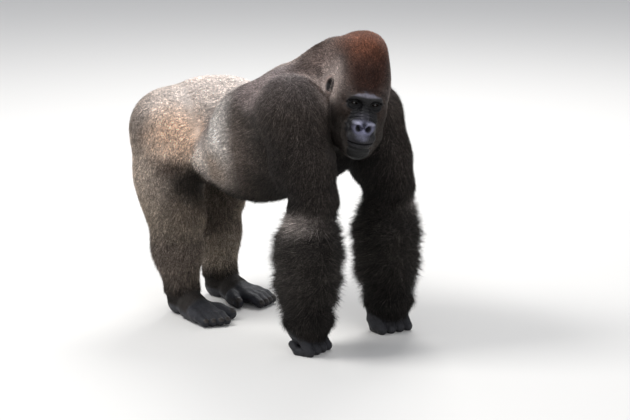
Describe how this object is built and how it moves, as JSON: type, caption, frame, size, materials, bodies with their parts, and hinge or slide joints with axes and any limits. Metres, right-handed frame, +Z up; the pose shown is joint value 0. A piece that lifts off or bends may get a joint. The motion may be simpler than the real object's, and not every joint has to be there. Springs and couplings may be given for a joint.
{
  "type": "standing gorilla model",
  "caption": "Life-size still model of an adult male lowland gorilla standing on its feet and knuckles with its head turned to its right",
  "frame": {"origin": "middle of the model's bounding box, on the floor that it stands on", "axes": "+X the way the body faces, +Y the gorilla's left, +Z up"},
  "size_m": [1.1722, 0.6582, 1.1171],
  "materials": {
    "crown_coat": "short rusty auburn hair",
    "brown_coat": "short grey-brown hair",
    "saddle_coat": "short silver-grey to tan hair",
    "dark_coat": "long blackish-brown hair",
    "bare_skin": "bare black skin, creased, with a dull sheen",
    "eye": "dark brown, wet gloss"
  },
  "bodies": {
    "root": {"head": "crown_coat", "ear_right": "bare_skin", "ear_left": "bare_skin", "eye_right": "eye", "eye_left": "eye", "neck": "brown_coat", "trunk": "saddle_coat", "upper_arm_right": "dark_coat", "upper_arm_left": "dark_coat", "forearm_right": "dark_coat", "forearm_left": "dark_coat", "hand_right": "bare_skin", "hand_left": "bare_skin", "thigh_right": "saddle_coat", "thigh_left": "saddle_coat", "shin_right": "brown_coat", "shin_left": "brown_coat", "foot_right": "bare_skin", "foot_left": "bare_skin"}
  },
  "joints": []
}
